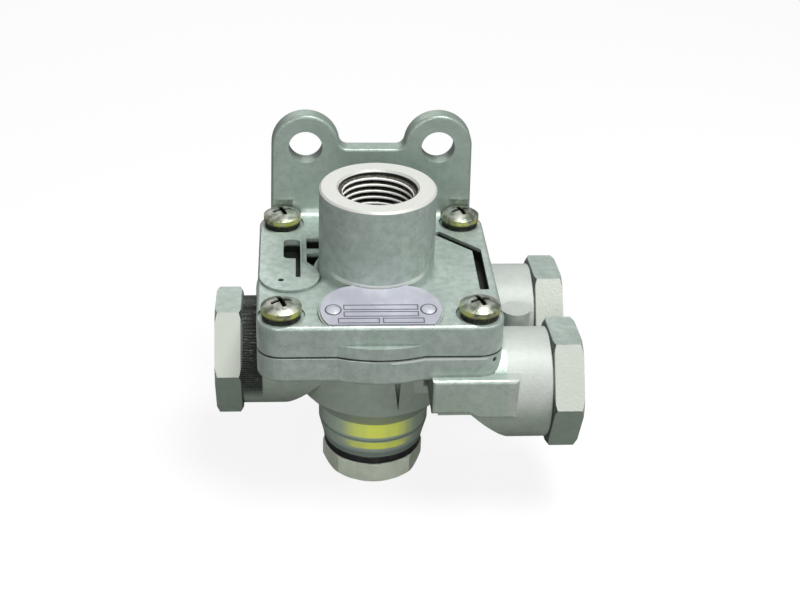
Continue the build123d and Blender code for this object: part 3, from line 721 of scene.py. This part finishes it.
cover.bump(cover.both(cover.waves(axis_distance, TOOL_RING), turned_face), TOOL_RING_DEPTH)
wear("top_cover", cover)

# %% [markdown]
# ## Screws
# The screws are zinc plated with a yellow-green passivation, which gathers in patches; low on
# the head its yellow is also a painted reflection. Their cross recess and the lower edge of the
# head get painted shade. All four screws sit at the same distance from one middle point, so
# folding the coordinates over both middle lines lets one mask find the recess in every head. The
# head is a shallow dome, which falls away with the square of the distance from its top: what
# lies well below the dome is in the recess.

# %% Screw finish
SCREW_GREY = (0.17, 0.20, 0.15)
SCREW_SILVER = (0.50, 0.52, 0.46)
SCREW_YELLOW = (0.55, 0.55, 0.12)
SCREW_RECESS_SHADE = (0.015, 0.017, 0.013)
DOME_FALL = 17.9 * MM
RECESS_REACH = 3.1 * MM

front_low, front_high = box_of("cover_screw_front_left")
rear_low, rear_high = box_of("cover_screw_rear_left")
front_y = (front_low.y + front_high.y) / 2
rear_y = (rear_low.y + rear_high.y) / 2
HEAD_TOP = front_high.z
SCREW_X = -(front_low.x + front_high.x) / 2
SCREW_MID_Y = (front_y + rear_y) / 2
SCREW_SPAN_Y = (rear_y - front_y) / 2

screw = Finish("screw_steel")
fold_x = screw.math("SUBTRACT", screw.math("ABSOLUTE", screw.x), SCREW_X)
from_mid = screw.math("ABSOLUTE", screw.math("SUBTRACT", screw.y, SCREW_MID_Y))
fold_y = screw.math("SUBTRACT", from_mid, SCREW_SPAN_Y)
head_distance = screw.from_axis(fold_x, fold_y)
squared = screw.math("MULTIPLY", head_distance, head_distance)
fallen = screw.math("DIVIDE", squared, DOME_FALL)
dome = screw.math("SUBTRACT", HEAD_TOP, fallen)
recess = screw.both(
    screw.ramp(screw.math("SUBTRACT", dome, screw.z), 0.15 * MM, 0.5 * MM),
    screw.ramp(head_distance, RECESS_REACH + 0.3 * MM, RECESS_REACH),
)
plating = screw.patches(2.6 * MM, 0.35, 0.65, detail=2)
low_head = screw.ramp(screw.z, HEAD_TOP - 1.0 * MM, HEAD_TOP - 2.4 * MM)
rim = screw.ramp(screw.z, HEAD_TOP - 2.7 * MM, HEAD_TOP - 3.1 * MM)
screw_colour = screw.mix(plating, SCREW_GREY, SCREW_SILVER)
# Low on the head the yellow is plating tint and painted reflection.
screw_colour = screw.mix(screw.both(low_head, plating), screw_colour, SCREW_YELLOW)
# Painted shade in the cross recess and at the lower edge of the head.
screw_shade = screw.either(recess, screw.math("MULTIPLY", rim, 0.7))
screw.set("Base Color", screw.mix(screw_shade, screw_colour, SCREW_RECESS_SHADE))
screw.set("Metallic", 0.75)
screw.set("Roughness", screw.blend(plating, 0.30, 0.40))
screw.bump(screw.noise(0.6 * MM, detail=2, seed=4.0), 0.05 * MM)
print("screws at", round(SCREW_X / MM, 1), "mm from the middle plane")

# %% [markdown]
# The spring washers are blackened steel, dull and a little spotted. Each corner of the cover
# gets one screw and one washer.

# %% Washer finish
WASHER_BLACK = (0.020, 0.024, 0.018)
WASHER_SPOT = (0.06, 0.07, 0.05)

washer = Finish("washer_steel")
washer_spots = washer.patches(1.2 * MM, 0.4, 0.7)
washer.set("Base Color", washer.mix(washer_spots, WASHER_BLACK, WASHER_SPOT))
washer.set("Metallic", 0.6)
washer.set("Roughness", 0.5)
for corner in ("front_left", "front_right", "rear_left", "rear_right"):
    wear("cover_screw_" + corner, screw)
    wear("spring_washer_" + corner, washer)

# %% [markdown]
# ## The exhaust bush
# The bush is turned bar with a glossy passivation. It is bright yellow-green in two bands, one
# above and one below the groove, and grey-green elsewhere: the yellow is the passivation's
# colour laid as a painted reflection. It comes and goes round the bush in three broad lobes, one
# of them at the front: a cosine of three times the angle makes them, and streaky noise breaks
# their edges. Its foot gets painted shade, next to the rubber ring.

# %% Bush finish
BUSH_GREY = (0.38, 0.46, 0.40)
BUSH_YELLOW = (0.92, 1.00, 0.16)
BUSH_SHADE = (0.10, 0.14, 0.11)
BUSH_LOBES = 3.0
STREAK_WEIGHT = 2.4
BUSH_FOOT = box_of("exhaust_bush")[0].z
GROOVE_TOP = BUSH_FOOT + 7 * MM

bush = Finish("bush_metal")
bush_turn = bush.math("ARCTAN2", bush.x, bush.math("MULTIPLY", bush.y, -1.0))
lobes = bush.math("COSINE", bush.math("MULTIPLY", bush_turn, BUSH_LOBES))
streaks = bush.noise(5 * MM, detail=2, stretch=(1, 1, 0.05))
broken_lobes = bush.math("ADD", lobes, bush.math("MULTIPLY", streaks, STREAK_WEIGHT))
yellow_bands = bush.either(
    bush.ramp(bush.z, GROOVE_TOP + 0.1 * MM, GROOVE_TOP + 0.5 * MM),
    bush.band(bush.z, GROOVE_TOP - 3.6 * MM, GROOVE_TOP - 1.5 * MM, 0.5 * MM),
)
# The yellow: the passivation's colour, laid as a painted reflection in lobes.
yellow_reflection = bush.both(bush.ramp(broken_lobes, 0.2, 2.3), yellow_bands)
shaded_foot = bush.ramp(bush.z, BUSH_FOOT + 2.6 * MM, BUSH_FOOT + 1.2 * MM)
bush_colour = bush.mix(yellow_reflection, BUSH_GREY, BUSH_YELLOW)
bush.set("Base Color", bush.lay(bush_colour, BUSH_SHADE, shaded_foot, share=0.6))
bush.set("Metallic", 0.05)
bush.set("Roughness", 0.28)
bush.bump(bush.noise(0.25 * MM, detail=2, stretch=(0.02, 0.02, 1)), 0.01 * MM)
wear("exhaust_bush", bush)

# %% [markdown]
# ## Nut and rubber
# The nut is pale plated metal with faint clouds, between satin and gloss. Rubber is nearly
# black, with a soft sheen and a dusty bloom, never pure black. The diaphragm gets a little more
# bloom than the seals.

# %% Nut and rubber finishes
NUT_DULL = (0.66, 0.74, 0.60)
NUT_PALE = (0.79, 0.86, 0.72)
RUBBER_BLACK = (0.012, 0.012, 0.012)
SEAL_BLOOM = (0.03, 0.03, 0.03)
DIAPHRAGM_BLOOM = (0.045, 0.045, 0.045)

nut = Finish("nut_metal")
nut_clouds = nut.patches(5 * MM, 0.35, 0.65, detail=3)
nut.set("Base Color", nut.mix(nut_clouds, NUT_DULL, NUT_PALE))
nut.set("Metallic", 0.1)
nut.set("Roughness", nut.blend(nut_clouds, 0.42, 0.32))
nut.bump(nut.noise(0.8 * MM, detail=3, seed=1.0), 0.03 * MM)
wear("exhaust_nut", nut)


def black_rubber(name, bloom):
    rubber = Finish(name)
    dust = rubber.patches(2.5 * MM, 0.45, 0.75, detail=4)
    rubber.set("Base Color", rubber.mix(dust, RUBBER_BLACK, bloom))
    rubber.set("Roughness", rubber.blend(dust, 0.42, 0.6))
    rubber.bump(rubber.noise(0.35 * MM, detail=2, seed=6.0), 0.02 * MM)
    return rubber


seal = black_rubber("seal_rubber", SEAL_BLOOM)
for node in ("cover_seal", "exhaust_seal", "exhaust_flap"):
    wear(node, seal)
wear("diaphragm", black_rubber("diaphragm_rubber", DIAPHRAGM_BLOOM))

# %% [markdown]
# ## The rating plate and its rivets
# A thin sheet of satin metal, cooler and paler than the casting, held by two round heads. Painted
# shade lies in a ring where each head meets the plate, and both finishes need that ring, so one
# function draws it. The plate's edges get painted shade too. The rivets are mirrored over the
# middle plane: one ring serves both.

# %% Plate and rivet finishes
PLATE_DULL = (0.36, 0.365, 0.415)
PLATE_PALE = (0.42, 0.425, 0.475)
RIVET_PALE = (0.42, 0.43, 0.47)
RIVET_SPOT = (0.33, 0.34, 0.37)
RING = 0.12 * MM
RING_SHADE = 0.85

rivet_low, rivet_high = box_of("plate_rivet_right")
rivet_middle = (rivet_low + rivet_high) / 2
RIVET_RADIUS = (rivet_high.x - rivet_low.x) / 2


def rivet_shade_ring(finish):
    """The painted shade where a rivet's head meets the plate."""
    across = finish.math("SUBTRACT", finish.math("ABSOLUTE", finish.x), rivet_middle.x)
    distance = finish.from_axis(across, finish.y, 0.0, rivet_middle.y)
    return finish.band(distance, RIVET_RADIUS - RING, RIVET_RADIUS + RING, RING)


plate = Finish("plate_metal")
plate_clouds = plate.patches(6 * MM, 0.35, 0.65, detail=2)
plate_colour = plate.mix(plate_clouds, PLATE_DULL, PLATE_PALE)
# Painted shade along the plate's edges and round each rivet.
plate_shade = plate.either(plate.crevices(0.5 * MM), rivet_shade_ring(plate))
plate.set("Base Color", plate.lay(plate_colour, GRIME_AND_SHADE, plate_shade, share=RING_SHADE))
plate.set("Metallic", 0.25)
plate.set("Roughness", 0.42)
plate.bump(plate.noise(0.5 * MM, detail=2, stretch=(0.08, 1, 1)), 0.01 * MM)
wear("rating_plate", plate)

rivet = Finish("rivet_metal")
rivet_colour = rivet.mix(rivet.patches(0.9 * MM, 0.4, 0.7), RIVET_PALE, RIVET_SPOT)
# Painted shade round the rivet's rim.
rivet.set("Base Color", rivet.lay(rivet_colour, GRIME_AND_SHADE, rivet_shade_ring(rivet), share=RING_SHADE))
rivet.set("Metallic", 0.2)
rivet.set("Roughness", 0.5)
for side in ("left", "right"):
    wear("plate_rivet_" + side, rivet)

# %% [markdown]
# ## Ruled fields
# The plate is blank apart from four ruled fields, which are printed lines on the real one. Here
# they are thin raised strips a few hundredths of a millimetre high, so they stay crisp at any
# distance. Each field is an outline: four strips that meet at the corners. One function draws
# any field from its near left corner and its size, in the sloping plane of the plate.

# %% Field builder
LINE_WIDTH = 0.28 * MM
LINE_RISE = 0.04 * MM
PLATE_THICKNESS = 0.5 * MM
STRIP_SIDES = ((3, 2, 1, 0), (4, 5, 6, 7), (0, 1, 5, 4), (1, 2, 6, 5), (2, 3, 7, 6), (3, 0, 4, 7))
seat = Matrix.Translation((0, SEAT_FRONT, COVER_TOP)) @ Matrix.Rotation(SEAT_SLOPE, 4, "X")
INK_DARK = (0.05, 0.05, 0.07)
INK_WORN = (0.10, 0.10, 0.13)
ink = Finish("field_ink")
ink.set("Base Color", ink.mix(ink.noise(1.0 * MM), INK_DARK, INK_WORN))
ink.set("Roughness", 0.5)


def piece_from(mesh, name, *finishes):
    """Turn a built mesh into a piece in the scene, with one slot for each finish."""
    data = bpy.data.meshes.new(name)
    mesh.to_mesh(data)
    mesh.free()
    for finish in finishes:
        data.materials.append(finish.material)
    return add_object(name, data)


def add_strip(mesh, x0, y0, x1, y1):
    """One flat bar between two opposite corners, drawn on the sloping plate."""
    outline = ((x0, y0), (x1, y0), (x1, y1), (x0, y1))
    heights = (PLATE_THICKNESS, PLATE_THICKNESS + LINE_RISE)
    points = [mesh.verts.new(seat @ Vector((x, y, z))) for z in heights for x, y in outline]
    for side in STRIP_SIDES:
        mesh.faces.new([points[i] for i in side])


def ruled_field(name, left, front, wide, deep):
    """Four strips round one field, as one piece."""
    mesh = bmesh.new()
    back = front + deep
    end = left + wide
    add_strip(mesh, left, front, end, front + LINE_WIDTH)
    add_strip(mesh, left, back - LINE_WIDTH, end, back)
    add_strip(mesh, left, front + LINE_WIDTH, left + LINE_WIDTH, back - LINE_WIDTH)
    add_strip(mesh, end - LINE_WIDTH, front + LINE_WIDTH, end, back - LINE_WIDTH)
    piece = piece_from(mesh, name, ink)
    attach(piece, "housing")
    return piece


print("lines", round(LINE_WIDTH / MM, 2), "mm wide")

# %% [markdown]
# The photograph's layout is two long rows above two short ones. The long rows fit between the
# rivets, and the short ones reach further out, because no rivet stands beside them.

# %% Draw the fields
LONG_FIELD = 19.2 * MM
SHORT_FIELD = 10.6 * MM
FIELD_DEPTH = 2.05 * MM
LONG_LEFT = -9.6 * MM
BACK_ROW, MIDDLE_ROW, FRONT_ROW = 5.70 * MM, 3.05 * MM, 0.45 * MM
fields = [
    ruled_field("field_long_back", LONG_LEFT, BACK_ROW, LONG_FIELD, FIELD_DEPTH),
    ruled_field("field_long_front", LONG_LEFT, MIDDLE_ROW, LONG_FIELD, FIELD_DEPTH),
    ruled_field("field_short_left", -11.1 * MM, FRONT_ROW, SHORT_FIELD, FIELD_DEPTH),
    ruled_field("field_short_right", 0.3 * MM, FRONT_ROW, SHORT_FIELD, FIELD_DEPTH),
]
print("ruled fields:", len(fields))

# %% [markdown]
# ## Pipe threads
# The solids stop at the thread's root, so the crests are still missing. A crest is one long
# ridge wound as a helix. It could be swept along a curve, but then its run-in and run-out would
# need trimming. Building it point by point is simpler: walk round the helix, place the same
# small profile each time, and let the profile sink into the wall over the first and the last
# third of a turn. The crests get a painted highlight, and the flanks painted shade.

# %% Thread shape and finishes
THREAD_PITCH = 1.814 * MM
THREAD_CREST = 9.32 * MM
THREAD_BASE = THREAD_ROOT + 0.03 * MM
STEPS_PER_TURN = 64
RUN_IN_TURNS = 0.3
CREST_START = 0.42
# Each point of the profile: its height from the base to the crest, its place within one pitch.
CREST_PROFILE = (
    (0.0, -0.40),
    (0.45, -0.29),
    (0.86, -0.20),
    (0.98, -0.14),
    (1.0, 0.0),
    (0.98, 0.14),
    (0.86, 0.20),
    (0.45, 0.29),
    (0.0, 0.40),
)
BRIGHT_STRIPS = (2, 3, 4, 5)
CREST_SLOT = 0
FLANK_SLOT = 1
# The crests' colours are a painted highlight, the flanks' colours painted shade.
CREST_DULL = (0.80, 0.80, 0.76)
CREST_BRIGHT = (0.88, 0.88, 0.86)
FLANK_DARK = (0.02, 0.02, 0.015)
FLANK_SPOT = (0.16, 0.15, 0.12)

crest = Finish("thread_crest")
crest_spots = crest.patches(0.9 * MM, 0.3, 0.7, detail=3)
crest.set("Base Color", crest.mix(crest_spots, CREST_DULL, CREST_BRIGHT))
crest.set("Roughness", 0.4)
flank = Finish("thread_flank")
flank_spots = flank.patches(0.5 * MM, 0.35, 0.65, detail=3, seed=4.0)
flank.set("Base Color", flank.mix(flank_spots, FLANK_DARK, FLANK_SPOT))
flank.set("Roughness", 0.5)
flank.set("Metallic", 0.3)
print("thread pitch", round(THREAD_PITCH / MM, 3), "mm")

# %% [markdown]
# The helix needs its own directions: inward along the bore, and two square to it to turn in.
# Every step gives one row of points. Neighbouring rows are joined by strips, the last strip
# closes the ridge behind, and a cap closes each end, so the thread is a solid skin.

# %% Thread builder
def thread_rows(mesh, mouth, inward, across, length):
    """The profile, placed step by step along the helix."""
    second = inward.cross(across)
    turns = length / THREAD_PITCH
    depth = THREAD_BASE - THREAD_CREST
    for step in range(int(turns * STEPS_PER_TURN) + 1):
        turn = step / STEPS_PER_TURN
        angle = 2 * math.pi * turn
        run_in = max(0.0, min(1.0, turn / RUN_IN_TURNS, (turns - turn) / RUN_IN_TURNS))
        outward = math.cos(angle) * across + math.sin(angle) * second
        row = []
        for height, offset in CREST_PROFILE:
            radius = THREAD_BASE - depth * height * run_in
            along = (CREST_START + turn + offset) * THREAD_PITCH
            row.append(mesh.verts.new(mouth + radius * outward + along * inward))
        yield row


def pipe_thread(name, mouth, inward, across, length):
    """A helical ridge from just inside a port's mouth, going inward along a unit vector."""
    mesh = bmesh.new()
    rows = list(thread_rows(mesh, Vector(mouth), Vector(inward), Vector(across), length))
    for row, following in zip(rows, rows[1:]):
        for i in range(len(CREST_PROFILE) - 1):
            face = mesh.faces.new((row[i], row[i + 1], following[i + 1], following[i]))
            face.material_index = CREST_SLOT if i in BRIGHT_STRIPS else FLANK_SLOT
        closing = mesh.faces.new((row[-1], row[0], following[0], following[-1]))
        closing.material_index = FLANK_SLOT
    mesh.faces.new(rows[0])
    mesh.faces.new(list(reversed(rows[-1])))
    bmesh.ops.recalc_face_normals(mesh, faces=mesh.faces)
    piece = piece_from(mesh, name, crest, flank)
    piece.data.shade_smooth()
    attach(piece, "housing")
    return piece


print("a row has", len(CREST_PROFILE), "points,", STEPS_PER_TURN, "rows to a turn")

# %% [markdown]
# The four ports take the same thread. The side ports are a little shorter, because their bores
# end in a drill's cone.

# %% Wind the four threads
MOUTH_DEPTH = 0.1 * MM
INLET_THREAD = 16 * MM
SIDE_THREAD = 13.5 * MM
DOWN, TO_LEFT, TO_RIGHT = (0, 0, -1), (-1, 0, 0), (1, 0, 0)
TO_BACK = (0, 1, 0)
inlet_mouth = (0, 0, INLET_TOP - MOUTH_DEPTH)
left_mouth = (LEFT_MOUTH + MOUTH_DEPTH, 0, PORT_AXIS)
front_mouth = (RIGHT_MOUTH - MOUTH_DEPTH, -PORT_SPREAD, PORT_AXIS)
rear_mouth = (RIGHT_MOUTH - MOUTH_DEPTH, PORT_SPREAD, PORT_AXIS)
threads = [
    pipe_thread("thread_inlet", inlet_mouth, DOWN, TO_RIGHT, INLET_THREAD),
    pipe_thread("thread_left", left_mouth, TO_RIGHT, TO_BACK, SIDE_THREAD),
    pipe_thread("thread_right_front", front_mouth, TO_LEFT, TO_BACK, SIDE_THREAD),
    pipe_thread("thread_right_rear", rear_mouth, TO_LEFT, TO_BACK, SIDE_THREAD),
]
print("threads:", len(threads), "with", len(threads[0].data.polygons), "faces in the inlet")

# %% [markdown]
# ## Finish
# The view is set to Standard, so a colour renders as it is written. The two boxes are compared,
# and the largest move of a side is printed, so anyone can see that dressing the valve didn't
# make it bigger.

# %% Compare the sizes and finish
bpy.context.scene.view_settings.view_transform = "Standard"
visual_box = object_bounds()
moves = [abs(a - b) for after, before in zip(visual_box, cad_box) for a, b in zip(after, before)]
print("dressing moved the box's sides by at most", round(max(moves) / MM, 3), "mm")
